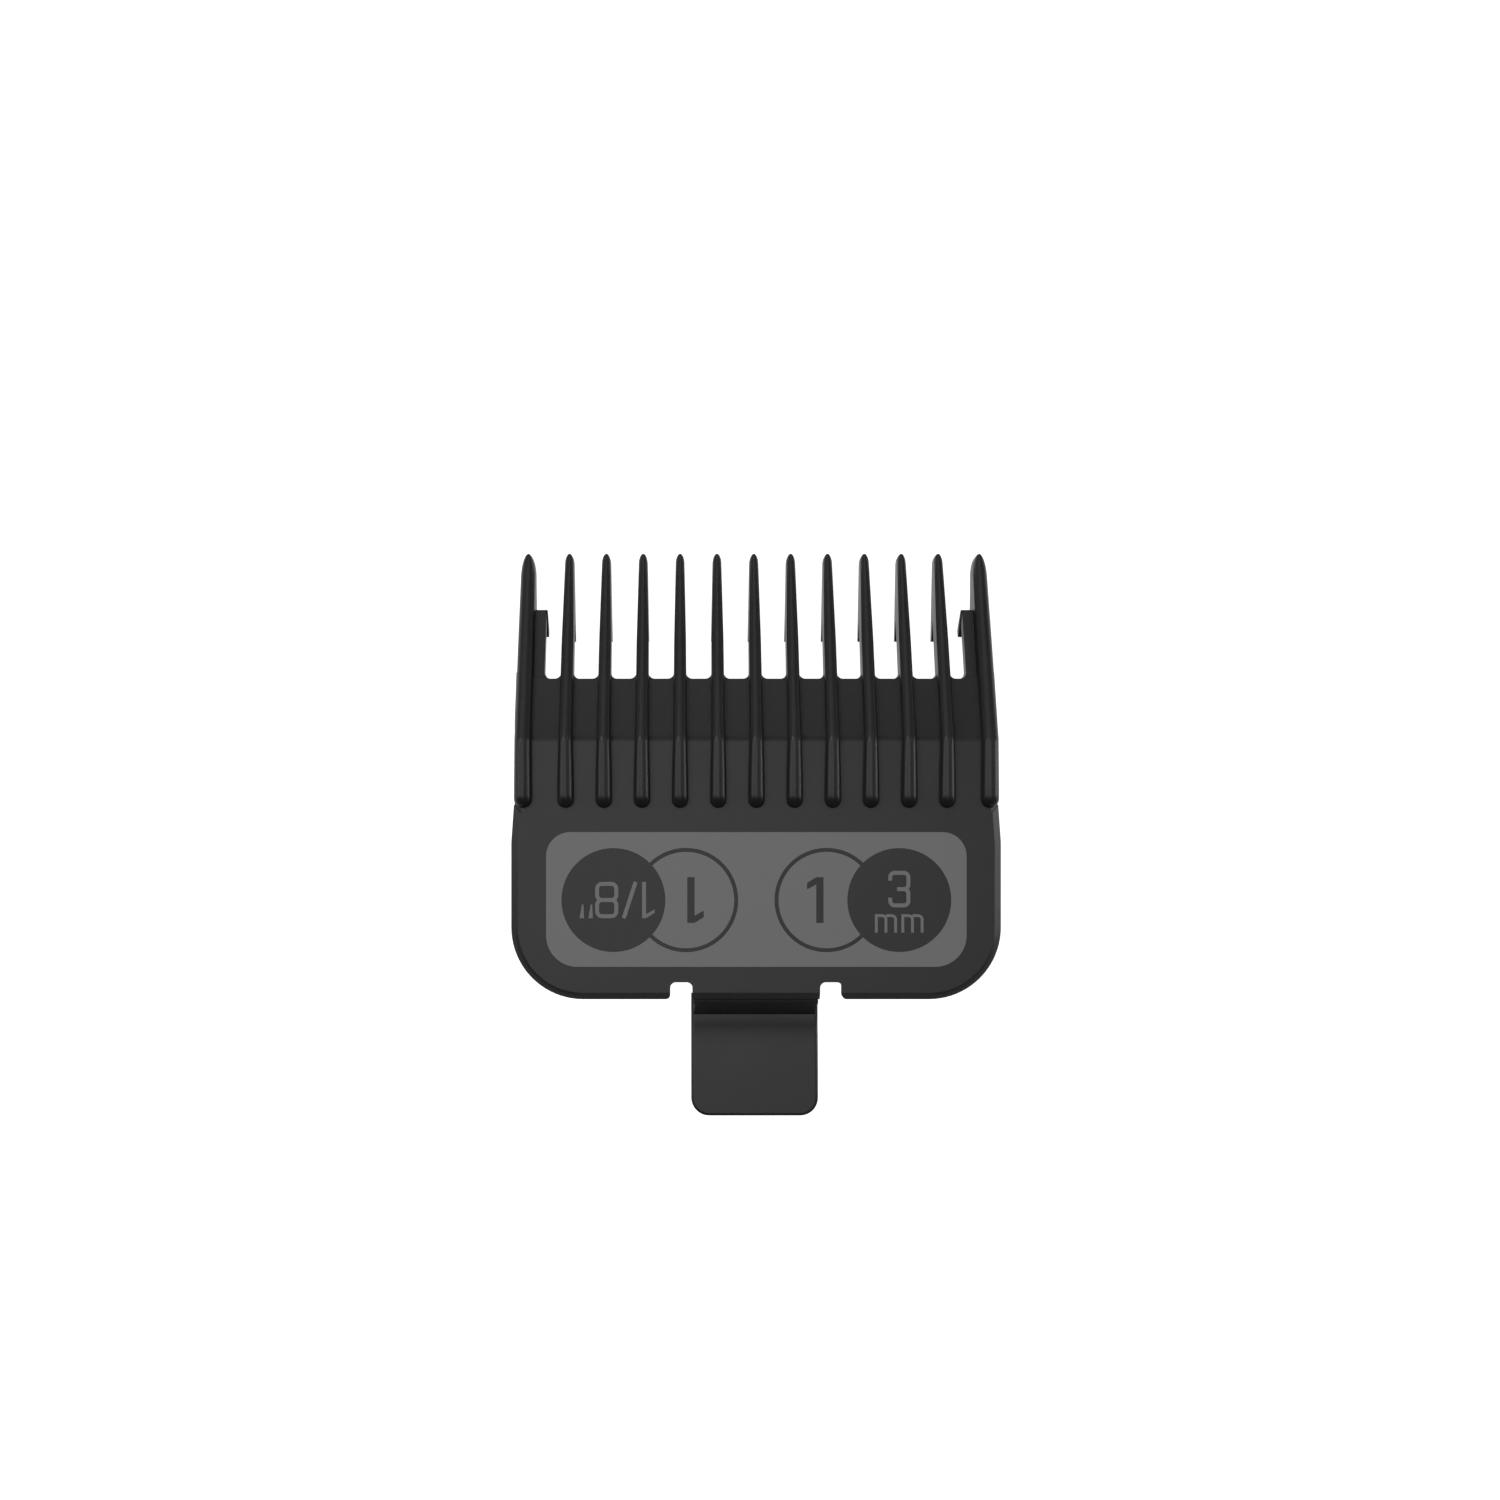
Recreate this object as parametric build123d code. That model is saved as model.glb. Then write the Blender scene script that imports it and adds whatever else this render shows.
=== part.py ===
"""Clip-on guide comb of a hair clipper, size 1 (3 mm), with its latch.

The comb lies skin side up. +X runs across the teeth, +Y points from the latch to the tooth tips and
+Z points out of the skin side. The shapes are drawn in the plate's own frame: X = 0 on the middle
tooth, Y = 0 close to the bend where the flat plate meets its bevelled front, and Z = 0 on the flat
plate's skin face. Each part is moved as it is written, so that the origin is under the middle of the
whole comb, at its lowest point.
"""

import os
from math import radians, sqrt, tan

from build123d import *

# ---- driving dimensions, in mm -------------------------------------------------------------------

cut_length = 3.0  # hair length: from the ribs' skin edge to the blade's face
plate_thickness = 1.8
rib_height = cut_length - plate_thickness

plate_width = 47.1
plate_rear = -24.5  # the plate's rear edge
bend_line = 0.54  # where the flat plate ends and the bevel starts
plate_front = 6.4  # the bevelled front's edge
bevel_slope = tan(radians(23.6))
corner_radius = 6.9  # the two rear corners, seen from above
edge_chamfer = 0.7
# where the sides draw in beside the outer teeth, as (width, Y)
waist = ((47.1, -9.4), (46.88, -7.9), (46.6, -5.8))
waist_width = 46.45  # from the outer teeth to the front

tooth_count = 11  # inner teeth
tooth_pitch = 3.656
rib_rear = -6.1
tip_front = 18.95
heel_level = -8.6  # the teeth's lowest edge
# the tooth's width at stations along Y, from its rear end to its tip
tooth_widths = (
    (rib_rear, 1.6),
    (-4.0, 1.58),
    (-2.0, 1.5),
    (0.0, 1.37),
    (2.0, 1.28),
    (10.0, 1.18),
    (tip_front, 0.84),
)
outer_widths = (
    (rib_rear, 1.74),
    (-4.0, 1.72),
    (-1.0, 1.66),
    (1.5, 1.6),
    (10.0, 1.54),
    (tip_front, 1.38),
)
fin_width = 1.18  # of the inner teeth where they leave the plate
tooth_nose, outer_nose = 0.9, 2.3  # length of the tip's rounding, seen from above
rib_fall = 1.3  # length over which the rib falls to the plate at its rear end
tip_fall, tip_drop = 1.2, 0.12  # length and height of the skin edge's fall at the tip
# stations along a rounded end, as shares of its length
end_steps = (0.0, 0.15, 0.35, 0.6, 0.8, 0.93, 0.995)
tip_lean = 0.35  # the tip's lower end stands this far behind its skin edge
nose_radius = 0.7  # the tip's lower corner
outer_foot = 0.75  # the outer teeth also reach this deep into the plate's chamfered edge
web_radius = 0.62  # corners where a slot between two teeth ends in the plate

lip_rear = 10.27  # where the return lip ends under the blade's toe
toe_slot_end = 12.4  # how far forward the blade's toe reaches
lip_level = -7.8  # the lip's upper edge at its rear end

hook_inner, hook_outer = 20.5, 21.9  # the side hook's arm, from the comb's middle
hook_barb = 0.13  # how far its lip stands inwards of the arm
hook_rear, hook_front = 6.55, 13.28
arm_cut = 2.0  # length of the plate's cut, from its front edge back to the arm's rear end
hook_drop = 0.1  # the arm's face lies this far under the bevel's
hook_heel = 11.4  # the hook's lowest point
hook_nose = 0.5  # the arm's height at its front end, before the ramp
mouth_setback = 0.45  # the hook's lip starts this far in front of the teeth's lips
mouth_lead = 0.4  # height of the lead-in under the hook's lip
throat_setback = 0.3  # the hook's slot is this much shorter than the teeth's

rail_inner, rail_outer = 22.5, 23.25
rail_rear, rail_front = -17.0, 5.9
rail_depth = 2.6
rail_tenon = 0.3  # how far the rail is let into the plate
rail_round = 1.2  # the rail's lower corners

tongue_width = 12.24
notch_width, notch_depth = 2.14, 1.7
notch_radius, notch_lead = 0.55, 0.45  # inner corners, and the outer corners at the rear edge

latch_gap = 0.02  # between the plate's rear face and the latch's
seam_level = -edge_chamfer  # the latch bends about this line
riser_width = 12.0
shoulder = ((0.3, 0.3), (0.46, 0.38))  # steps back and down from the seam, before the riser drops
crease = (-26.56, -5.4)  # where the riser meets the thumb tab
tab_width = 12.44
tab_end = -36.38
tab_thickness = 1.25
# the tab's upper face behind the crease, as (distance back, rise): steep at first, then almost level
tab_curve = ((0.0, 0.0), (1.0, 0.3), (2.0, 0.52), (3.3, 0.7), (5.5, 0.86), (9.82, 1.02))
tab_corner = 1.75
tab_edge = 0.3
tab_heel = 0.4  # chamfer under the tab's front edge
hook_reach = 0.9  # how far the latch hook reaches under the blade's heel
hook_level = -4.5  # the hook's upper face, under the 2.7 mm thick heel
hook_height = 1.6
hook_slope, hook_face = 0.1, 0.35  # fall of the hook's upper face, and height of its front face
hook_inset = 0.3  # the hook is this much narrower than the riser at each end

print_thickness = 0.03
label_width, label_rear, label_front = 40.3, -21.31, -8.4
label_front_radius, label_rear_radius = 2.3, 3.0
mark_line = -14.91  # the row of discs and rings
disc_place, disc_radius = 13.7, 4.98
ring_place, ring_radius, ring_stroke = 6.74, 5.0, 0.38
one_place, one_height, one_width, one_pen = 5.74, 4.38, 1.58, 0.7
one_shift = -0.09  # both large figures stand this far off the discs' symmetry
light_pen, fine_pen = 0.38, 0.27  # strokes of the light figures and of mm
# the figures in the discs, with their places from the disc's middle
three_height, three_width, three_level = 3.5, 2.12, 1.05
m_height, m_width, m_level = 1.76, 2.12, -2.24
m_places = (-1.28, 1.26)
fraction_height = 3.48
small_one_place, small_one_width = -3.35, 1.2
bar_start, bar_end = -2.13, -0.99  # the fraction's slanted bar
eight_place, eight_width = 0.64, 2.22
inch_mark_places = (1.97, 2.81)
inch_mark_width, inch_mark_level = 0.43, 0.43  # its width at the top, and how high its foot ends
inch_mark_foot = (0.06, 0.2)

overall_middle = (tip_front + tab_end) / 2
block_reach = 15.0  # cutting blocks reach this far above and below the plate
slot_reach = 5.0  # slots are cut this far past the plate's front edge
near = 0.01  # how close an edge lies to a place that it is picked by

os.makedirs("parts", exist_ok=True)


# ---- helpers -------------------------------------------------------------------------------------


def bevel_level(y):
    """Height of the plate's skin face at Y."""
    return -bevel_slope * max(y - bend_line, 0.0)


def side_slab(points, inner, outer):
    """A solid with this outline in the YZ plane, from X = inner to X = outer."""
    outline = Plane.YZ * make_face(Polyline(*points, close=True))
    return Pos(inner, 0, 0) * extrude(outline, outer - inner, dir=(1, 0, 0))


def plan_block(outline):
    """An outline in the XY plane, made a block that is taller and deeper than the comb."""
    return Pos(0, 0, -block_reach) * extrude(outline, 2 * block_reach, dir=(0, 0, 1))


def export(name, solid):
    """Writes one node in the comb's final frame."""
    export_step(Pos(0, -overall_middle, -heel_level) * solid, f"parts/{name}.step")


# ---- the plate -----------------------------------------------------------------------------------


def plate_outline():
    """The plate seen from above: round rear corners, and sides that step in beside the outer teeth."""
    front = plate_front + web_radius
    sides = ((plate_width, plate_rear), *waist, (waist_width, waist[-1][1]), (waist_width, front))
    right = tuple((width / 2, y) for width, y in sides)
    left = tuple((-x, y) for x, y in reversed(right))
    outline = make_face(Polyline(*right, *left, close=True))
    rear_corners = outline.vertices().group_by(Axis.Y)[0]
    return fillet(rear_corners, corner_radius)


def slot_between(left, right):
    """The open slot between two teeth, with rounded corners where it ends in the plate."""
    front = plate_front + slot_reach
    middle = (left + right) / 2
    slot = Pos(middle, (plate_front + front) / 2) * Rectangle(right - left, front - plate_front)
    return fillet(slot.vertices().group_by(Axis.Y)[0], web_radius)


def notch(side):
    """One of the two notches that free the latch's tongue, with its lead-in at the rear edge."""
    middle = side * (tongue_width + notch_width) / 2
    cut = Pos(middle, plate_rear) * Rectangle(notch_width, 2 * notch_depth)
    cut = fillet(cut.vertices().group_by(Axis.Y)[-1], notch_radius)
    corner = Pos(side * (tongue_width / 2 + notch_width), plate_rear)
    kept = Pos(side * notch_lead, notch_lead) * Circle(notch_lead)
    lead = corner * (Rectangle(2 * notch_lead, 2 * notch_lead) - kept)
    return cut + lead


def make_plate(rails):
    """The flat plate and its bevelled front, chamfered round the flat part's skin edge."""
    front = plate_front + web_radius
    top = ((plate_rear, 0), (bend_line, 0), (front, bevel_level(front)))
    bottom = tuple((y, z - plate_thickness) for y, z in reversed(top))
    plate = side_slab(top + bottom, -plate_width / 2, plate_width / 2) & plan_block(plate_outline())
    flat_edges = plate.edges().filter_by_position(Axis.Z, -near, near)
    rim = [edge for edge in flat_edges if edge.center().Y < bend_line - near]
    plate = chamfer(rim, edge_chamfer)

    half = (tooth_count - 1) / 2
    for n in range(tooth_count - 1):
        left = (n - half) * tooth_pitch + fin_width / 2
        plate -= plan_block(slot_between(left, left + tooth_pitch - fin_width))
    outermost = half * tooth_pitch + fin_width / 2
    plate -= plan_block(slot_between(outermost, hook_inner))
    plate -= plan_block(slot_between(-hook_inner, -outermost))
    for side in (-1, 1):
        plate -= plan_block(notch(side))
        arm_place = Pos(side * (hook_inner + hook_outer) / 2, hook_rear + arm_cut / 2)
        plate -= plan_block(arm_place * Rectangle(hook_outer - hook_inner, arm_cut))
    for rail in rails:
        plate -= rail
    return plate


def make_rail(side):
    """A wall under the plate's side, which holds the blade sideways."""
    top = (
        (rail_rear, rail_tenon - plate_thickness),
        (0, rail_tenon - plate_thickness),
        (rail_front, bevel_level(rail_front) + rail_tenon - plate_thickness),
    )
    drop = rail_depth + rail_tenon
    bottom = tuple((y, z - drop) for y, z in reversed(top))
    inner = rail_inner if side > 0 else -rail_outer
    rail = side_slab(top + bottom, inner, inner + rail_outer - rail_inner)
    ends = rail.edges().filter_by(Axis.X)
    lower_rear = ends.sort_by(Axis.Y)[:2].sort_by(Axis.Z)[0]
    lower_front = ends.sort_by(Axis.Y)[-2:].sort_by(Axis.Z)[0]
    return fillet([lower_rear, lower_front], rail_round)


# ---- the teeth -----------------------------------------------------------------------------------


def tooth_side(foot):
    """The tooth's outline seen from the side: a rib on the plate, then a free fin with its return lip.

    Its upper side is left too high, as the rounded skin edge is cut later.
    """
    step = plate_front + web_radius
    seat = plate_thickness
    return (
        (rib_rear, foot),
        (rib_rear, 2 * rib_height),
        (tip_front, 2 * rib_height),
        (tip_front, skin_edge(tip_front)),
        (tip_front - tip_lean, heel_level),
        (lip_rear, heel_level),
        (lip_rear, lip_level),
        (toe_slot_end, bevel_level(toe_slot_end) - seat),
        (step, bevel_level(step) - seat),
        (step, bevel_level(step) + foot),
        (bend_line, foot),
    )


def round_end(distance, length):
    """How much is left, from 0 to 1, at a distance from the end of a rounding of this length."""
    share = 1 - min(distance / length, 1)
    return sqrt(1 - share * share)


def skin_edge(y):
    """Height of the tooth's skin edge at Y: level with the cut length, and falling at both ends."""
    rear = rib_height * round_end(y - rib_rear, rib_fall)
    tip = tip_drop * (1 - round_end(tip_front - y, tip_fall))
    return rear - tip + bevel_level(y)


def width_between(widths, y):
    """The width at Y, by straight lines between the stations."""
    for (y0, w0), (y1, w1) in zip(widths, widths[1:]):
        if y <= y1:
            return w0 + (w1 - w0) * (y - y0) / (y1 - y0)
    return widths[-1][1]


def tooth_section(widths, nose, y):
    """A cut across the tooth at Y, with a half-round skin edge."""
    half = width_between(widths, y) / 2
    half *= min(round_end(y - rib_rear, widths[0][1] / 2), round_end(tip_front - y, nose))
    top = skin_edge(y)
    deep = 1.5 * heel_level
    wall = Polyline((-half, top - half), (-half, deep), (half, deep), (half, top - half))
    crown = ThreePointArc((half, top - half), (0, top), (-half, top - half))
    return Plane.XZ.offset(-y) * make_face([wall, crown])


def make_tooth(widths, nose, middle, foot):
    """One tooth: sections along Y give its round skin edge, and the side outline cuts them to shape."""
    stations = {y for y, _ in widths[1:-1]} | {bend_line}
    stations |= {rib_rear + rib_fall * (1 - share) for share in end_steps}
    stations |= {tip_front - nose * (1 - share) for share in end_steps}
    bar = loft([tooth_section(widths, nose, y) for y in sorted(stations)], ruled=True)
    slab = side_slab(tooth_side(foot), -tooth_pitch / 2, tooth_pitch / 2)
    across = slab.edges().filter_by(Axis.X)
    lower_end = tip_front - tip_lean
    lower_tip = across.filter_by_position(Axis.Y, lower_end - near, lower_end + near)
    return Pos(middle, 0, 0) * (bar & fillet(lower_tip, nose_radius))


# ---- the side hooks ------------------------------------------------------------------------------


def make_side_hook(side, plate, outer_tooth):
    """A short arm beside the outer tooth, with a lip under the blade's front corner."""
    mouth = lip_rear + mouth_setback
    throat = toe_slot_end - throat_setback
    seat = (throat, bevel_level(throat) - plate_thickness)
    lip = (
        (hook_front, bevel_level(hook_front) - hook_drop),
        (hook_front, bevel_level(hook_front) - hook_nose),
        (hook_heel, heel_level),
        (mouth, heel_level + mouth_lead),
        (mouth, lip_level),
        seat,
    )
    arm = (
        (hook_rear, bevel_level(hook_rear) - hook_drop),
        lip[0],
        seat,
        (hook_rear, bevel_level(hook_rear) - plate_thickness),
    )
    hook = side_bar(arm, side, hook_inner) + side_bar(lip, side, hook_inner - hook_barb)
    return hook - outer_tooth - plate


def side_bar(outline, side, inner):
    """A bar with this side outline, from X = inner out to the outer tooth, on one side of the comb."""
    start = inner if side > 0 else -hook_outer
    return side_slab(outline, start, start + hook_outer - inner)


# ---- the latch -----------------------------------------------------------------------------------


def make_riser():
    """The wall that drops behind the blade's heel, from the bending line down to the tab."""
    front = plate_rear - latch_gap
    shoulders = tuple((front - back, seam_level - down) for back, down in shoulder)
    outline = ((front, seam_level), *shoulders, crease, (front, crease[1]))
    return side_slab(outline, -riser_width / 2, riser_width / 2)


def make_hook():
    """The nose that reaches under the blade's heel, with its lead-in ramp."""
    front = plate_rear - latch_gap
    face_top = hook_level - hook_slope
    outline = (
        (front, hook_level),
        (front + hook_reach, face_top),
        (front + hook_reach, face_top - hook_face),
        (front, hook_level - hook_height),
    )
    half = riser_width / 2 - hook_inset
    return side_slab(outline, -half, half)


def make_tab():
    """The thumb tab, which rises towards its end and has round corners."""
    front = plate_rear - latch_gap
    root_y, root_z = crease
    upper = tuple((root_y - back, root_z + rise) for back, rise in tab_curve)
    lower = tuple((y, z - tab_thickness) for y, z in reversed(upper[1:]))
    heel = ((root_y, root_z - tab_thickness), (front, root_z - tab_thickness + tab_heel))
    half = tab_width / 2
    tab = side_slab(((front, root_z), *upper, *lower, *heel), -half, half)
    upright = tab.edges().filter_by(Axis.Z).sort_by(Axis.Y)[:2]
    tab = fillet(upright, tab_corner)
    end_edges = tab.edges().filter_by_position(Axis.Y, tab_end - near, tab_end + near)
    return fillet(end_edges.filter_by(Axis.X), tab_edge)


# ---- the printed label ---------------------------------------------------------------------------


def stroke(points, radius, width):
    """A pen stroke of this width along a line of points with round corners."""
    path = FilletPolyline(*points, radius=radius) if radius else Polyline(*points)
    return trace(path, line_width=width)


def figure_one(height, width, pen):
    """The figure 1: an upright with a slanted flag, centred on its own box."""
    edge, y = width / 2 - pen, height / 2
    reach = width - pen
    drop = 0.62 * reach
    flag = (
        (edge, y),
        (edge - reach, y - drop),
        (edge - reach, y - drop - 0.9 * pen),
        (edge, y - pen),
    )
    return Pos(edge + pen / 2, 0) * Rectangle(pen, height) + Polygon(*flag, align=None)


def figure_three(height, width, pen):
    """The figure 3, two open round-cornered bowls."""
    x, y = (width - pen) / 2, (height - pen) / 2
    bowls = Sketch()
    for side in (1, -1):
        bowl = ((-x, side * 0.52 * y), (-x, side * y), (x, side * y), (x, 0), (-0.25 * x, 0))
        bowls += stroke(bowl, 0.5 * x, pen)
    return bowls


def figure_eight(height, width, pen):
    """The figure 8, two round-cornered loops that share a bar."""
    x, y = (width - pen) / 2, (height - pen) / 2
    corner = 0.3 * width
    loops = Sketch()
    for side in (-1, 1):
        loop = Pos(0, side * y / 2)
        outer = loop * RectangleRounded(2 * x + pen, y + pen, corner)
        inner = loop * RectangleRounded(2 * x - pen, y - pen, corner - pen)
        loops += outer - inner
    return loops


def letter_m(height, width, pen):
    """A small m: a straight leg, and two arches with a round shoulder each."""
    x, y = (width - pen) / 2, (height - pen) / 2
    legs = Pos(-x, 0) * Rectangle(pen, height)
    for start in (-x, 0):
        arch = ((start, y), (start + x, y), (start + x, -height / 2))
        legs += stroke(arch, 0.4 * x, pen)
    return legs


def size_in_millimetres():
    """The figure 3 over mm, about the middle of its disc."""
    words = Pos(0, three_level) * figure_three(three_height, three_width, light_pen)
    for x in m_places:
        words += Pos(x, m_level) * letter_m(m_height, m_width, fine_pen)
    return words


def size_in_inches():
    """The fraction 1/8 and its inch marks, about the middle of their disc."""
    top = fraction_height / 2
    words = Pos(small_one_place, 0) * figure_one(fraction_height, small_one_width, light_pen)
    words += trace(Polyline((bar_start, -top), (bar_end, top)), line_width=light_pen)
    words += Pos(eight_place, 0) * figure_eight(fraction_height, eight_width, light_pen)
    foot_left, foot_right = inch_mark_foot
    for x in inch_mark_places:
        mark = (
            (x, top),
            (x + inch_mark_width, top),
            (x + foot_right, inch_mark_level),
            (x + foot_left, inch_mark_level),
        )
        words += Polygon(*mark, align=None)
    return words


def make_label():
    """The light panel, with discs, rings and large figures left out, and the figures in the discs."""
    panel = Rectangle(label_width, label_front - label_rear)
    panel = Pos(0, (label_front + label_rear) / 2) * panel
    panel = fillet(panel.vertices().group_by(Axis.Y)[0], label_rear_radius)
    panel = fillet(panel.vertices().group_by(Axis.Y)[-1], label_front_radius)
    figures = Sketch()
    for side, turn in ((1, 0), (-1, 180)):
        disc = Pos(side * disc_place, mark_line) * Circle(disc_radius)
        place = Pos(side * ring_place, mark_line)
        ring = place * (Circle(ring_radius) - Circle(ring_radius - ring_stroke))
        figure = Rot(0, 0, turn) * figure_one(one_height, one_width, one_pen)
        panel = panel - disc - ring - Pos(side * one_place + one_shift, mark_line) * figure
        words = size_in_millimetres() if side > 0 else size_in_inches()
        figures += Pos(side * disc_place, mark_line) * Rot(0, 0, turn) * words
    up = (0, 0, 1)
    return extrude(panel, print_thickness, dir=up), extrude(figures, print_thickness, dir=up)


# ---- build and export ----------------------------------------------------------------------------

rails = [make_rail(side) for side in (-1, 1)]
plate = make_plate(rails)
export("comb_plate", plate)
for n in range(tooth_count):
    middle = (n - (tooth_count - 1) / 2) * tooth_pitch
    export(f"tooth_{n + 1:02d}", make_tooth(tooth_widths, tooth_nose, middle, 0))
for side, name, rail in ((-1, "left", rails[0]), (1, "right", rails[1])):
    middle = side * (waist_width - outer_widths[0][1]) / 2
    outer_tooth = make_tooth(outer_widths, outer_nose, middle, -outer_foot) - plate
    export(f"outer_tooth_{name}", outer_tooth)
    export(f"side_hook_{name}", make_side_hook(side, plate, outer_tooth))
    export(f"side_rail_{name}", rail)
export("latch_riser", make_riser())
export("latch_hook", make_hook())
export("thumb_tab", make_tab())
label_panel, label_figures = make_label()
export("label_panel", label_panel)
export("label_figures", label_figures)
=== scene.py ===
"""Clip-on guide comb of a hair clipper, size 1 (3 mm).

It lies skin side up on a white table, in soft studio light.
"""

import math

import bmesh
import bpy
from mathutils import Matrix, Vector


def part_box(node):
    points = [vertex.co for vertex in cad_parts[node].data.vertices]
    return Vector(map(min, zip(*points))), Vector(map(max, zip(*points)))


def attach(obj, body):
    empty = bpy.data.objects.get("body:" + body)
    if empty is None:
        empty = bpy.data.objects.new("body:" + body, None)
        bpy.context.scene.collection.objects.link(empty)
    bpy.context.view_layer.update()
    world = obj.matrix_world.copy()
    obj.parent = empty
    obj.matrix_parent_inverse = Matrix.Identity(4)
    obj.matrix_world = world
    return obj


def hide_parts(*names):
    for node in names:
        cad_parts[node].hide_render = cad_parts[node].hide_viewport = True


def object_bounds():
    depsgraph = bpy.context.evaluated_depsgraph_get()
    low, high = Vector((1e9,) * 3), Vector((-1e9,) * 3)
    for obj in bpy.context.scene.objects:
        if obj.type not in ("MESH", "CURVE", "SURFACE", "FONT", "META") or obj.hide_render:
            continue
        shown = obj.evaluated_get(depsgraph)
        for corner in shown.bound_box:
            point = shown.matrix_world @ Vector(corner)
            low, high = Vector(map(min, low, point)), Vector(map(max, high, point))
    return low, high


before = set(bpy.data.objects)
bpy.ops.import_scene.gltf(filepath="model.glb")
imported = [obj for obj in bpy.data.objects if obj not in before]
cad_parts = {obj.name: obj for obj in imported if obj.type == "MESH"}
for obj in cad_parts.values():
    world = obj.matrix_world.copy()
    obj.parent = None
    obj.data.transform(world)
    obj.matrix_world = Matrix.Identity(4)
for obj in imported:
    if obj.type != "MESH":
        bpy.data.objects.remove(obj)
cad_low, cad_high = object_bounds()
scene = bpy.context.scene
scene.view_settings.view_transform = "Standard"

# ---- The table -----------------------------------------------------------------------------------
# A white sheet of backlit acrylic, which the camera sees pure white. On the comb it only glows from
# under the teeth, as the lamps behind the plate are off. From below the sheet is clear, to show the
# underside.

table_size = 6.0
table_gap = 0.0002  # between the sheet and the comb's lowest point
dark_to, bright_from = -0.012, 0.004  # along Y, between the lamps that are off and on
table_glow = 0.56

bm = bmesh.new()
bmesh.ops.create_grid(bm, x_segments=1, y_segments=1, size=table_size / 2)
bmesh.ops.translate(bm, verts=bm.verts, vec=(0, 0, cad_low.z - table_gap))
table_mesh = bpy.data.meshes.new("white_table")
bm.to_mesh(table_mesh)
bm.free()
table_top = bpy.data.objects.new("white_table", table_mesh)
scene.collection.objects.link(table_top)
acrylic = bpy.data.materials.new("white_acrylic")
acrylic.use_nodes = True
nodes, links = acrylic.node_tree.nodes, acrylic.node_tree.links
shader = nodes["Principled BSDF"]
shader.inputs["Base Color"].default_value = (0.9, 0.9, 0.9, 1)
shader.inputs["Roughness"].default_value = 0.6
shader.inputs["Emission Color"].default_value = (1, 1, 1, 1)
coordinates = nodes.new("ShaderNodeTexCoord")
split = nodes.new("ShaderNodeSeparateXYZ")
lamps = nodes.new("ShaderNodeMapRange")
lamps.inputs["From Min"].default_value = dark_to
lamps.inputs["From Max"].default_value = bright_from
lamps.inputs["To Max"].default_value = table_glow
seen = nodes.new("ShaderNodeLightPath")
glow = nodes.new("ShaderNodeMix")
glow.inputs["B"].default_value = 1.0
links.new(coordinates.outputs["Object"], split.inputs["Vector"])
links.new(split.outputs["Y"], lamps.inputs["Value"])
links.new(lamps.outputs["Result"], glow.inputs["A"])
links.new(seen.outputs["Is Camera Ray"], glow.inputs["Factor"])
links.new(glow.outputs["Result"], shader.inputs["Emission Strength"])
clear = nodes.new("ShaderNodeBsdfTransparent")
side_seen = nodes.new("ShaderNodeNewGeometry")
sheet = nodes.new("ShaderNodeMixShader")
links.new(side_seen.outputs["Backfacing"], sheet.inputs["Fac"])
links.new(shader.outputs["BSDF"], sheet.inputs[1])
links.new(clear.outputs["BSDF"], sheet.inputs[2])
links.new(sheet.outputs["Shader"], nodes["Material Output"].inputs["Surface"])
table_mesh.materials.append(acrylic)

# ---- The studio light ----------------------------------------------------------------------------
# Soft boxes on a dome round the comb, aimed at its middle: most of them overhead and to the left, and a
# strong one low on the right. The room is dark, but white where the camera looks past the table.

dome_radius = 0.6
# (name, heading from +X, tilt from straight up, in degrees, then size in metres and power in watts)
soft_boxes = (
    ("overhead", 0, 0, 0.3, 0.37),
    ("left_high", 180, 20, 0.2, 0.14),
    ("left_middle", 180, 40, 0.2, 0.14),
    ("left_side", 180, 60, 0.2, 0.29),
    ("left_front", 135, 40, 0.2, 0.58),
    ("right_front", 45, 40, 0.2, 0.19),
    ("right_middle", 0, 45, 0.2, 0.1),
    ("right_low", 0, 80, 0.2, 0.6),
    ("front_side", 90, 60, 0.2, 0.2),
    ("rear_high", -90, 20, 0.2, 0.035),
)

for name, heading, tilt, size, power in soft_boxes:
    around, down = math.radians(heading), math.radians(tilt)
    level = math.sin(down)
    place = dome_radius * Vector((level * math.cos(around), level * math.sin(around), math.cos(down)))
    light = bpy.data.lights.new(name, "AREA")
    light.size = size
    light.energy = power
    lamp = bpy.data.objects.new(name, light)
    lamp.location = place
    lamp.rotation_euler = (-place).to_track_quat("-Z", "Y").to_euler()
    scene.collection.objects.link(lamp)
room = bpy.data.worlds.new("room")
room.use_nodes = True
nodes, links = room.node_tree.nodes, room.node_tree.links
nodes["Background"].inputs["Color"].default_value = (1, 1, 1, 1)
seen = nodes.new("ShaderNodeLightPath")
links.new(seen.outputs["Is Camera Ray"], nodes["Background"].inputs["Strength"])
scene.world = room

# ---- The camera ----------------------------------------------------------------------------------
# A normal lens that looks straight down at the comb, 200 mm over the plate's skin face and a little left
# of the comb's middle. The frame is shifted, so that the comb stands in its middle.

camera_left, camera_height = 0.00712, 0.2
camera_setback = 0.00755  # behind the plate's front edge
plate_low, plate_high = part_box("comb_plate")
camera_data = bpy.data.cameras.new("camera")
camera_data.sensor_width = 36.0
camera_data.lens = 50.08
camera_data.shift_x = 0.0453
camera_data.clip_start = 0.01
camera = bpy.data.objects.new("camera", camera_data)
camera.location = (-camera_left, plate_high.y - camera_setback, plate_high.z + camera_height)
scene.collection.objects.link(camera)
scene.camera = camera

# ---- The moulding's plastic ----------------------------------------------------------------------
# Near-black nylon from a spark-eroded mould, with a fine even grain, a slightly cloudy gloss and hardly
# any clouds in its colour. The ink shares the grain, as it follows the surface under it.

grain_height = 0.00002
cloud_scale = 260.0


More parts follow.
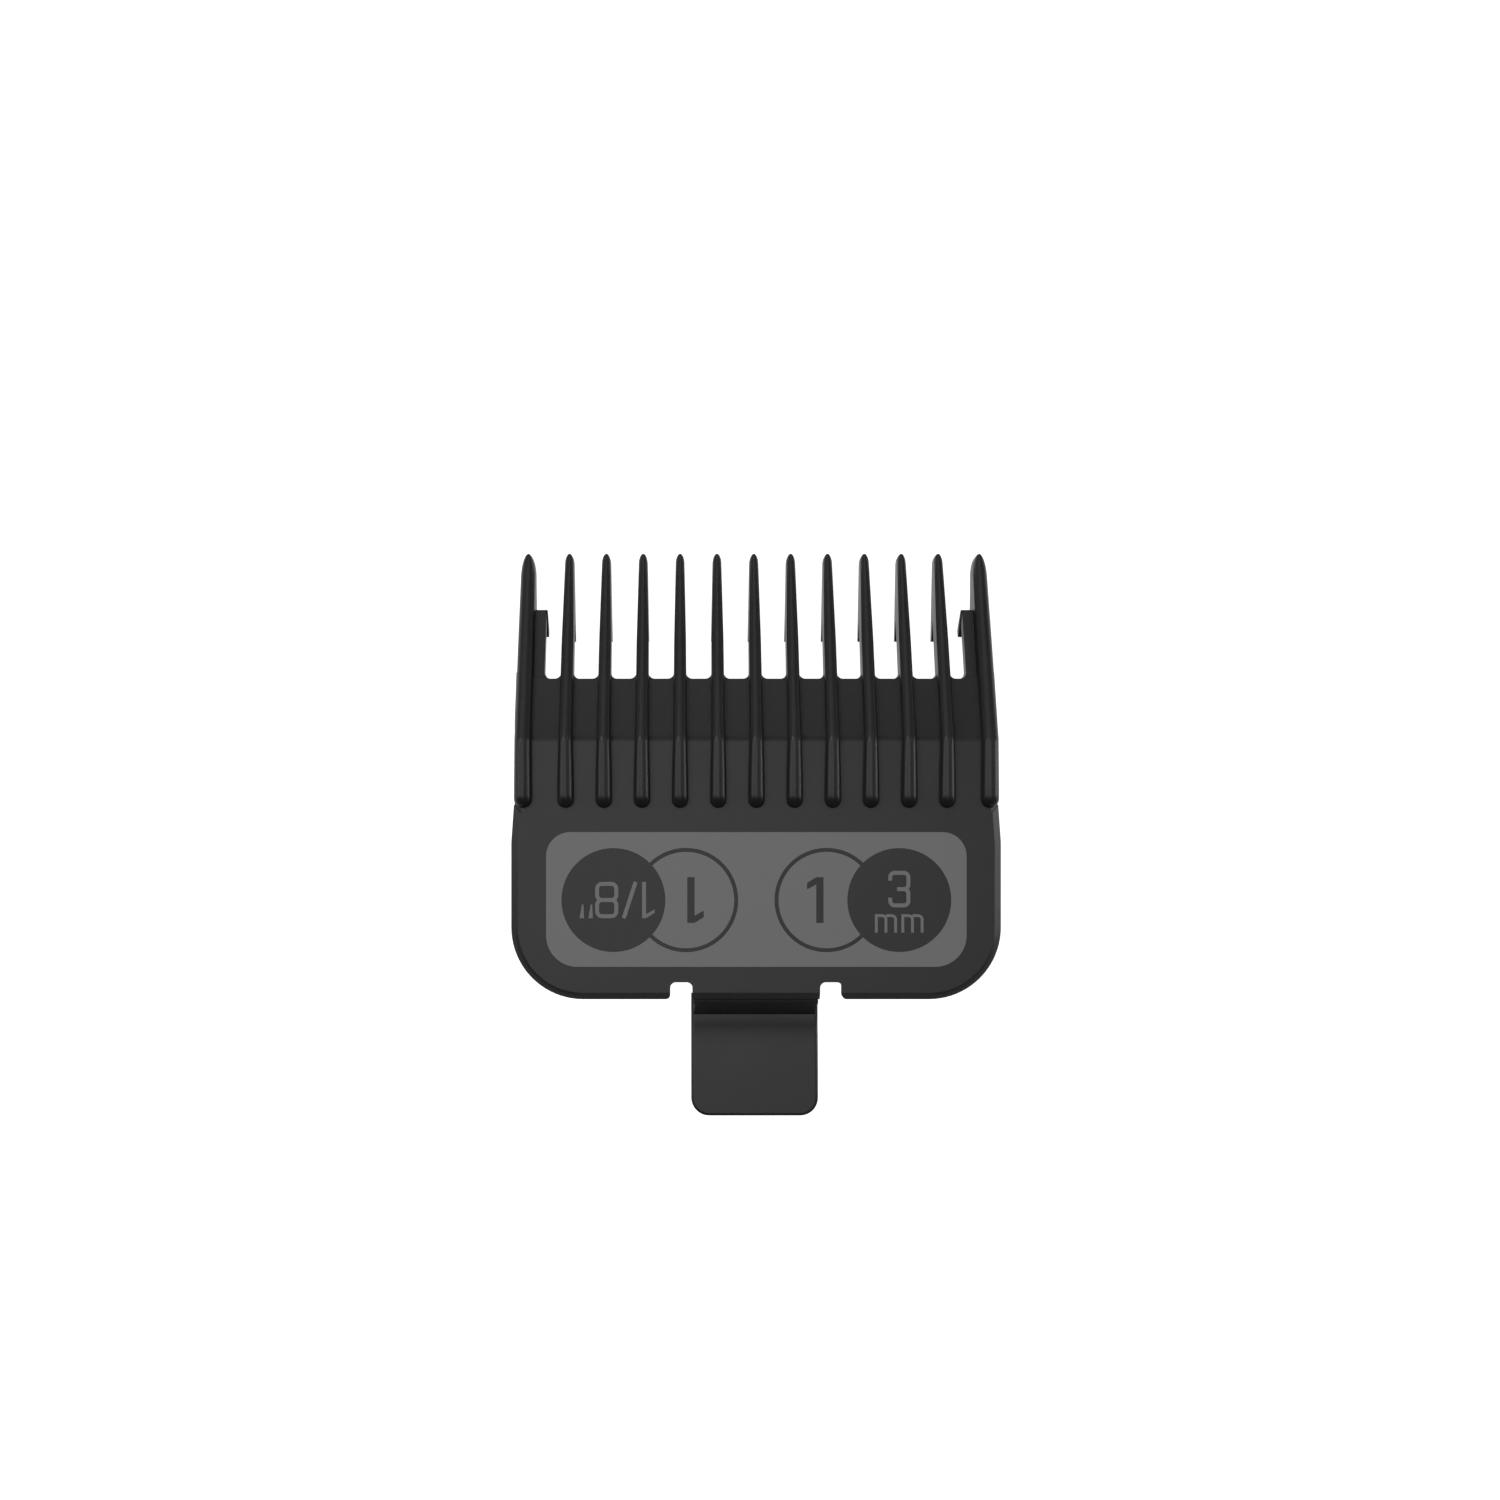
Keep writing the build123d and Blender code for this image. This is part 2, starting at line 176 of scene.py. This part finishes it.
def grain_group():
    """A node group: an even moulding grain on the piece's own coordinates."""
    group = bpy.data.node_groups.new("moulding_grain", "ShaderNodeTree")
    sockets = (
        ("Grain Scale", "INPUT", "NodeSocketFloat", 9000.0),
        ("Grain Depth", "INPUT", "NodeSocketFloat", 0.2),
        ("Dark", "INPUT", "NodeSocketColor", (0.02, 0.02, 0.02, 1)),
        ("Light", "INPUT", "NodeSocketColor", (0.03, 0.03, 0.03, 1)),
        ("Smooth", "INPUT", "NodeSocketFloat", 0.4),
        ("Rough", "INPUT", "NodeSocketFloat", 0.5),
        ("Colour", "OUTPUT", "NodeSocketColor", None),
        ("Roughness", "OUTPUT", "NodeSocketFloat", None),
        ("Normal", "OUTPUT", "NodeSocketVector", None),
    )
    for name, direction, kind, value in sockets:
        socket = group.interface.new_socket(name, in_out=direction, socket_type=kind)
        if value is not None:
            socket.default_value = value
    nodes, links = group.nodes, group.links
    given = nodes.new("NodeGroupInput")
    result = nodes.new("NodeGroupOutput")
    coordinates = nodes.new("ShaderNodeTexCoord")

    grain = nodes.new("ShaderNodeTexNoise")
    grain.inputs["Detail"].default_value = 2.0
    links.new(coordinates.outputs["Object"], grain.inputs["Vector"])
    links.new(given.outputs["Grain Scale"], grain.inputs["Scale"])
    bump = nodes.new("ShaderNodeBump")
    bump.inputs["Distance"].default_value = grain_height
    links.new(given.outputs["Grain Depth"], bump.inputs["Strength"])
    links.new(grain.outputs["Fac"], bump.inputs["Height"])
    links.new(bump.outputs["Normal"], result.inputs["Normal"])

    cloud = nodes.new("ShaderNodeTexNoise")
    cloud.inputs["Scale"].default_value = cloud_scale
    cloud.inputs["Detail"].default_value = 4.0
    links.new(coordinates.outputs["Object"], cloud.inputs["Vector"])
    tint = nodes.new("ShaderNodeMix")
    tint.data_type = "RGBA"
    links.new(cloud.outputs["Fac"], tint.inputs["Factor"])
    links.new(given.outputs["Dark"], tint.inputs["A"])
    links.new(given.outputs["Light"], tint.inputs["B"])
    links.new(tint.outputs["Result"], result.inputs["Colour"])

    gloss = nodes.new("ShaderNodeMapRange")
    links.new(cloud.outputs["Fac"], gloss.inputs["Value"])
    links.new(given.outputs["Smooth"], gloss.inputs["To Min"])
    links.new(given.outputs["Rough"], gloss.inputs["To Max"])
    links.new(gloss.outputs["Result"], result.inputs["Roughness"])
    return group


moulding_grain = grain_group()


def grained_material(name, dark, light, smooth, rough, depth):
    """A plastic or ink whose colour, gloss and bump come from the moulding grain."""
    material = bpy.data.materials.new(name)
    material.use_nodes = True
    nodes, links = material.node_tree.nodes, material.node_tree.links
    shader = nodes["Principled BSDF"]
    grain = nodes.new("ShaderNodeGroup")
    grain.node_tree = moulding_grain
    grain.inputs["Dark"].default_value = (*dark, 1)
    grain.inputs["Light"].default_value = (*light, 1)
    grain.inputs["Smooth"].default_value = smooth
    grain.inputs["Rough"].default_value = rough
    grain.inputs["Grain Depth"].default_value = depth
    links.new(grain.outputs["Colour"], shader.inputs["Base Color"])
    links.new(grain.outputs["Roughness"], shader.inputs["Roughness"])
    links.new(grain.outputs["Normal"], shader.inputs["Normal"])
    return material


black_nylon = grained_material(
    "black_nylon",
    dark=(0.019, 0.019, 0.02),
    light=(0.024, 0.024, 0.025),
    smooth=0.33,
    rough=0.40,
    depth=0.25,
)


def cover(piece, material):
    """Gives a piece this one material."""
    piece.data.materials.clear()
    piece.data.materials.append(material)


# ---- The comb plate ------------------------------------------------------------------------------
# The body of the moulding: a flat plate with a bevelled front, slotted between the teeth and notched
# beside the latch. Nylon, in one shot with everything else, and with the mould's fine radius on every
# edge.

sharp_angle = math.radians(35)
flat_angle = math.radians(0.5)
near = 1e-5  # how close a point lies to a place that it is picked by
merge_distance = 1e-6


def softened_copy(node):
    """A bmesh with the node's shape, its flat faces whole again, so that its edges can be rounded."""
    bm = bmesh.new()
    bm.from_mesh(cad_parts[node].data)
    bmesh.ops.remove_doubles(bm, verts=bm.verts, dist=merge_distance)
    bmesh.ops.dissolve_limit(bm, angle_limit=flat_angle, verts=bm.verts, edges=bm.edges)
    return bm


def round_edges(bm, edges, offset, segments):
    """Rounds these edges."""
    bmesh.ops.bevel(
        bm,
        geom=edges,
        offset=offset,
        offset_type="OFFSET",
        affect="EDGES",
        segments=segments,
        profile=0.5,
        material=-1,
        clamp_overlap=True,
    )


def sharp_edges(bm):
    """The edges where two faces meet at a clear angle."""
    return [
        edge
        for edge in bm.edges
        if len(edge.link_faces) == 2 and edge.calc_face_angle() > sharp_angle
    ]


def finish_piece(name, bm, material, body, node, crease_angle=sharp_angle):
    """Makes the bmesh a shown piece that rides on its body and stands for this CAD node."""
    mesh = bpy.data.meshes.new(name)
    bm.to_mesh(mesh)
    bm.free()
    mesh.shade_smooth()
    mesh.set_sharp_from_angle(angle=crease_angle)
    piece = bpy.data.objects.new(name, mesh)
    scene.collection.objects.link(piece)
    cover(piece, material)
    even = piece.modifiers.new("weighted_normals", "WEIGHTED_NORMAL")
    even.keep_sharp = True
    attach(piece, body)
    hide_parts(node)


plate_edge = 0.00648  # from the bend to the plate's front edge
bend_y = plate_high.y - plate_edge
skin_level = plate_high.z
bend_round = 0.00034
plate_round = 0.00007


def on_bend(point):
    """Whether a point lies on the skin face's bend."""
    return abs(point.y - bend_y) < near and point.z > skin_level - near


bm = softened_copy("comb_plate")
bend = [edge for edge in bm.edges if all(on_bend(vertex.co) for vertex in edge.verts)]
round_edges(bm, bend, bend_round, segments=3)
round_edges(bm, sharp_edges(bm), plate_round, segments=2)
finish_piece("comb_plate_moulded", bm, black_nylon, "comb", "comb_plate")

# ---- The rails and side hooks --------------------------------------------------------------------
# Two thin walls under the plate's sides, which hold the blade sideways, and two short arms beside the
# outer teeth, with a lip under the blade's corners. They are of the same nylon, from the same shot.

mould_round = 0.0001
for node in ("side_rail_left", "side_rail_right", "side_hook_left", "side_hook_right"):
    bm = softened_copy(node)
    round_edges(bm, sharp_edges(bm), mould_round, segments=2)
    finish_piece(f"{node}_moulded", bm, black_nylon, "comb", node)

# ---- The teeth -----------------------------------------------------------------------------------
# Thirteen J-shaped teeth of the same nylon: a rib with a ball end on the plate, then a free fin with a
# lip under the blade's toe. Their skin edge is half round, so that the comb glides over the scalp.

plate_thickness = 0.0018
bevel_slope = math.tan(math.radians(23.6))
rib_height = 0.0012
rib_fall = 0.0013  # length of the rib's round rear end, seen from the side
tip_fall, tip_drop = 0.0012, 0.00012  # length and height of the skin edge's fall at the tip
tip_lean = 0.00035  # the tip's lower end stands this far behind its skin edge
tip_round = 0.0007  # the tip's lower corner
web_overlap = 0.0003  # the free fin starts this far behind the plate's front edge
toe_slot_end = 0.01186  # how far forward the blade's toe reaches
lip_rear, lip_level = 0.00973, -0.0078
heel_round = 0.00012  # the lip's edges
inner_foot, outer_foot = 0.0001, 0.00075  # how deep a tooth is rooted in the plate
inner_nose, outer_nose = 0.0009, 0.0023  # length of the tip's rounding, seen from above
end_steps, fin_steps, crown_steps = 12, 16, 12
end_merge = 2e-7  # a tooth's two sides meet at its ends, where points this close become one
# the tooth's width at stations along Y from the bend, from its rear end to its tip
inner_widths = (
    (-0.00664, 0.0016),
    (-0.00454, 0.00158),
    (-0.00254, 0.0015),
    (-0.00054, 0.00137),
    (0.00146, 0.00128),
    (0.00946, 0.00118),
    (0.01841, 0.00084),
)
outer_widths = (
    (-0.00664, 0.00174),
    (-0.00454, 0.00172),
    (-0.00154, 0.00166),
    (0.00096, 0.0016),
    (0.00946, 0.00154),
    (0.01841, 0.00138),
)


def bevel_level(y):
    """Height of the plate's skin face at Y, from the bend."""
    return -bevel_slope * max(y, 0.0)


def round_end(distance, length):
    """How much is left, from 0 to 1, at a distance from the end of a rounding of this length."""
    if distance < merge_distance:
        return 0.0
    share = 1 - min(distance / length, 1.0)
    return math.sqrt(1 - share * share)


def width_between(widths, y):
    """The width at Y, by straight lines between the stations."""
    for (y0, w0), (y1, w1) in zip(widths, widths[1:]):
        if y <= y1:
            return w0 + (w1 - w0) * max(0.0, (y - y0) / (y1 - y0))
    return widths[-1][1]


def make_tooth(node, widths, nose, foot):
    """One tooth in the place of its CAD node, drawn from the plate's bend and skin face.

    Its side outline is made a slab that is 1 wide. The slab is cut across at the stations, and its upper
    strip is divided lengthwise. Then every point is moved in to the tooth's own width, and the strip is
    raised to a half-round crown.
    """
    low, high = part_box(node)
    rear, tip, heel = low.y - bend_y, high.y - bend_y, low.z - skin_level

    def half_width(y):
        ends = min(round_end(y - rear, widths[0][1] / 2), round_end(tip - y, nose))
        return width_between(widths, y) / 2 * ends

    def skin_edge(y):
        rib = rib_height * round_end(y - rear, rib_fall)
        fall = tip_drop * (1 - round_end(tip - y, tip_fall))
        return rib - fall + bevel_level(y)

    def on_strip(edge):
        start, end = (vertex.co for vertex in edge.verts)
        level = skin_edge(start.y) - half_width(start.y)
        return abs(start.x - end.x) > 0.5 and abs(start.z - level) < merge_distance

    def on_lip(point):
        return lip_rear - near < point.y < tip - nose and point.z < lip_level + near

    turns = [n / end_steps * math.pi / 2 for n in range(end_steps + 1)]
    fin_length = tip - nose - rear - rib_fall
    stations = {rear + rib_fall * (1 - math.cos(turn)) for turn in turns}
    stations |= {tip - nose * (1 - math.cos(turn)) for turn in turns}
    stations |= {rear + rib_fall + n / fin_steps * fin_length for n in range(1, fin_steps)}
    stations |= {-bend_round, 0.0, bend_round}
    stations = sorted(stations)

    strip = [(y, skin_edge(y) - half_width(y)) for y in stations]
    corner_y, corner_z = tip - tip_lean - tip_round, heel + tip_round
    chin = [
        (corner_y + tip_round * math.sin(turn), corner_z - tip_round * math.cos(turn))
        for turn in turns[::2]
    ]
    fin_start = plate_edge - web_overlap
    under = [
        (fin_start, bevel_level(fin_start) - foot),
        (fin_start, bevel_level(fin_start) - plate_thickness),
        (toe_slot_end, bevel_level(toe_slot_end) - plate_thickness),
        (lip_rear, lip_level),
        (lip_rear, heel),
    ]
    outline = [(rear, -foot), (0.0, -foot), *under, *chin, *reversed(strip)]

    bm = bmesh.new()
    side = bm.faces.new([bm.verts.new((-0.5, y, z)) for y, z in outline])
    grown = bmesh.ops.extrude_face_region(bm, geom=[side])
    other_side = [item for item in grown["geom"] if isinstance(item, bmesh.types.BMVert)]
    bmesh.ops.translate(bm, verts=other_side, vec=(1, 0, 0))
    for y in stations[1:-1]:
        geom = bm.verts[:] + bm.edges[:] + bm.faces[:]
        bmesh.ops.bisect_plane(bm, geom=geom, plane_co=(0, y, 0), plane_no=(0, 1, 0))
    crown = [edge for edge in bm.edges if on_strip(edge)]
    bmesh.ops.subdivide_edges(bm, edges=crown, cuts=crown_steps - 1)
    for vertex in bm.verts:
        half = half_width(vertex.co.y)
        turn = vertex.co.x * math.pi
        if abs(vertex.co.x) < 0.5 - merge_distance:
            vertex.co.z += half * math.cos(turn)
        vertex.co.x = half * math.sin(turn)
    bmesh.ops.remove_doubles(bm, verts=bm.verts, dist=end_merge)
    bmesh.ops.recalc_face_normals(bm, faces=bm.faces)
    lip = [edge for edge in sharp_edges(bm) if all(on_lip(vertex.co) for vertex in edge.verts)]
    round_edges(bm, lip, heel_round, segments=2)
    middle = (low.x + high.x) / 2
    bmesh.ops.translate(bm, verts=bm.verts, vec=(middle, bend_y, skin_level))
    finish_piece(f"{node}_moulded", bm, black_nylon, "comb", node)


for node in sorted(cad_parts):
    if node.startswith("tooth_"):
        make_tooth(node, inner_widths, inner_nose, inner_foot)
    if node.startswith("outer_tooth_"):
        make_tooth(node, outer_widths, outer_nose, outer_foot)

# ---- The latch -----------------------------------------------------------------------------------
# A tongue of the same nylon behind the plate. It drops behind the blade's heel as a riser, hooks under
# the heel, and runs on as a thumb tab that stands off the clipper, so that a thumb can lift it.

tab_round = 0.0003
tab_crease = math.radians(12)
latch_edges = (
    ("latch_riser", mould_round, 2),
    ("latch_hook", mould_round, 2),
    ("thumb_tab", tab_round, 4),
)
for node, rounding, segments in latch_edges:
    bm = softened_copy(node)
    round_edges(bm, sharp_edges(bm), rounding, segments)
    finish_piece(f"{node}_moulded", bm, black_nylon, "latch", node, tab_crease)

# ---- The size label ------------------------------------------------------------------------------
# Light grey ink, pad printed on the plate. The discs, rings and large figures are left out of the panel,
# so the nylon shows in them, and the small figures in the discs are printed with the panel.

grey_ink = grained_material(
    "grey_ink",
    dark=(0.255, 0.255, 0.255),
    light=(0.275, 0.275, 0.275),
    smooth=0.42,
    rough=0.52,
    depth=0.2,
)
for node in ("label_panel", "label_figures"):
    cover(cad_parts[node], grey_ink)
